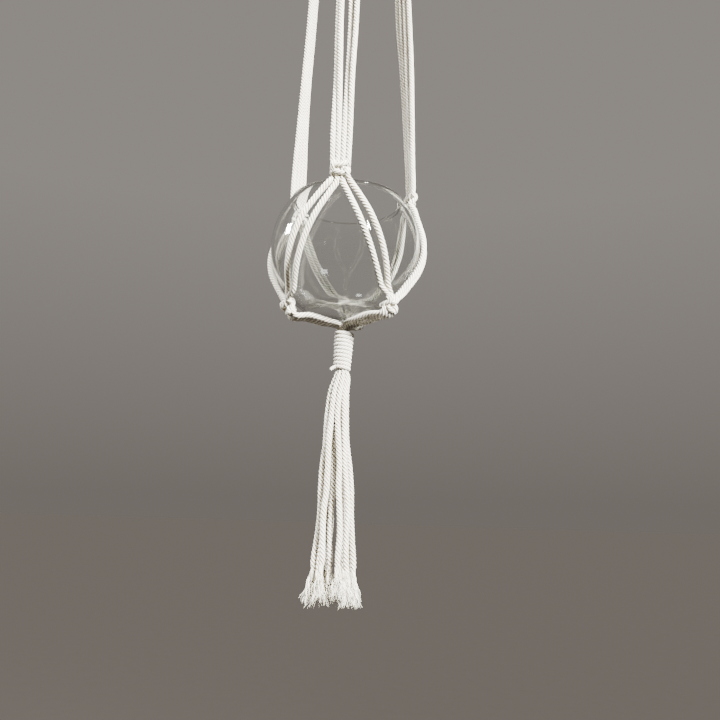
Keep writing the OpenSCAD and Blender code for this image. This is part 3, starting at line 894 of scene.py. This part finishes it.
def fold_line(m):
    """One cord folded over the ring, with both legs running down into the top wrap."""
    lean = (m - 2.5) * FOLD_STEP
    out = np.array([math.sin(lean), 0, -math.cos(lean)])
    bar = np.array([0, 0, RING_Z]) + RING_R * out
    thin = packed_strand_r(TOP_PACK_R)

    def leg(face, t):
        a = bar + (0, face * FOLD_R, 0)
        d = fold_slot(m, face, TOP_WRAP_Z + 0.002)
        b, c = a + 0.45 * NECK * out, d + (0, 0, 0.4 * NECK)
        at = (1 - t)**3 * a + 3 * (1 - t)**2 * t * b + 3 * (1 - t) * t**2 * c + t**3 * d
        return stop(at, CORD_R + (thin - CORD_R) * max(0, (t - 0.2) / 0.8))

    steps = [0.12, 0.26, 0.4, 0.54, 0.68, 0.82, 1]
    loop = [stop(bar - FOLD_R * math.cos(a) * out + (0, FOLD_R * math.sin(a), 0), CORD_R)
            for a in np.radians(np.arange(-90, 91, 22.5))]
    ends = [stop(fold_slot(m, face, TOP_WRAP_Z - 0.003), thin) for face in (-1, 1)]
    return smooth_line([ends[0]] + [leg(-1, t) for t in reversed(steps)] + loop
                       + [leg(1, t) for t in steps] + [ends[1]])


folds = cord_piece("neck_folds", [fold_line(m) for m in range(6)])
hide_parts(*[f"cord_fold_{m}" for m in range(1, 7)])
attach(folds, "head")


# ---- Ring ----

def ring_mesh():
    """A turned ring whose bar is a little flattened inside and outside, with faint tool marks."""
    around, section = 160, 40
    flattened, tool_mark = 0.012, 0.004
    points, faces = [], []
    for a in range(around):
        turn = TURN * a / around
        for b in range(section):
            phi = TURN * b / section
            r = RING_BAR_R * (1 - flattened * math.cos(2 * phi)
                              - tool_mark * (1 + math.cos(9 * phi)) / 2)
            reach = RING_R + r * math.cos(phi)
            points.append((reach * math.sin(turn), r * math.sin(phi),
                           RING_Z + reach * math.cos(turn)))
            c, d = (a + 1) % around, (b + 1) % section
            faces.append((a * section + b, a * section + d, c * section + d, c * section + b))
    return plain_mesh("wooden_ring", points, faces, WOOD)


ring = ring_mesh()
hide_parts("hanging_ring")
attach(ring, "ring")


# ---- Bowl ----

def arc(cx, cz, r, start, end, count):
    """Points on a circle from one angle to another, in degrees."""
    return [(cx + r * math.cos(math.radians(a)), cz + r * math.sin(math.radians(a)))
            for a in np.linspace(start, end, count)]


def bowl_profile():
    """Underside with a shallow hollow, foot, wall, rolled lip, inner wall and rounded floor."""
    rim = math.sqrt(BOWL_R**2 - MOUTH_R**2)
    foot = math.degrees(math.atan2(-BASE_DROP, BASE_R))
    outer = [(0, -BASE_DROP + 0.0003), (0.009, -BASE_DROP + 0.0003), (0.0165, -BASE_DROP + 0.0002),
             (0.0195, -BASE_DROP + 0.00005), (0.0212, -BASE_DROP), (0.0228, -BASE_DROP + 0.0001),
             (0.0243, -BASE_DROP + 0.0006)]
    outer += arc(0, 0, BOWL_R, foot + 2.6, math.degrees(math.atan2(rim, MOUTH_R)) - 1.2, 70)
    lip = arc(MOUTH_R - GLASS / 2, rim, LIP_R, -10, 205, 22)
    inner_r = BOWL_R - GLASS
    floor = -BASE_DROP + FLOOR
    top_angle = math.degrees(math.asin(rim / inner_r)) - 1.5

    # The inner wall runs down to the turn, and a curve that starts along it ends flat on the floor
    turn_z = floor + 0.0030
    turn_r = math.sqrt(inner_r**2 - turn_z**2)
    inner = arc(0, 0, inner_r, top_angle, math.degrees(math.asin(turn_z / inner_r)), 70)
    corner_r = turn_r - (turn_z - floor) * -turn_z / turn_r
    flat_r = corner_r - math.hypot(turn_r - corner_r, turn_z - floor)
    for t in np.linspace(0.08, 1, 14):
        inner.append(((1 - t)**2 * turn_r + 2 * t * (1 - t) * corner_r + t * t * flat_r,
                      (1 - t)**2 * turn_z + (1 - (1 - t)**2) * floor))
    inner += [(0.013, floor), (0.006, floor), (0, floor)]
    return [(r, z + BOWL_Z) for r, z in outer + lip + inner]


bowl = lathe("blown_bowl", bowl_profile(), GLASS_FINISH)
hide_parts("glass_bowl")
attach(bowl, "bowl")


# ---- Studio ----

def studio():
    """A wide pale floor well below the tassel, small soft lamps and a plain surround."""
    half, floor_z = 140.0, -6.0
    corners = ((-half, -half), (half, -half), (half, half), (-half, half))
    floor = plain_mesh("floor", [(x, y, floor_z) for x, y in corners], [(0, 1, 2, 3)],
                       plain_floor())
    world = bpy.data.worlds.new("surround")
    world.use_nodes = True
    world.node_tree.nodes.clear()
    graph = Graph(world.node_tree)
    height = graph.parts(graph.add("ShaderNodeTexCoord")["Generated"])[2]
    tone = blend_colours(graph, height * 2.6, (0.172, 0.156, 0.140, 1), (0.285, 0.262, 0.240, 1))
    light = graph.add("ShaderNodeBackground", None, {"Color": tone, "Strength": 1.0})
    graph.add("ShaderNodeOutputWorld", None, {"Surface": light})
    bpy.context.scene.world = world
    middle = Vector((0, 0, BOWL_Z))
    for name, place, size, power in (
            ("lamp_right", (1.05, -0.95, 0.55), 0.30, 52.0),
            ("lamp_left", (-1.35, -0.1, 0.55), 0.25, 10.0),
            ("lamp_above", (-0.35, -0.65, 1.35), 0.18, 17.0)):
        data = bpy.data.lights.new(name, "AREA")
        data.energy, data.size, data.color = power, size, (0.975, 1.0, 0.955)
        data.spread = math.radians(70)
        lamp = link(name, data)
        lamp.location = middle + Vector(place)
        lamp.rotation_euler = (middle - lamp.location).to_track_quat("-Z", "Y").to_euler()


studio()
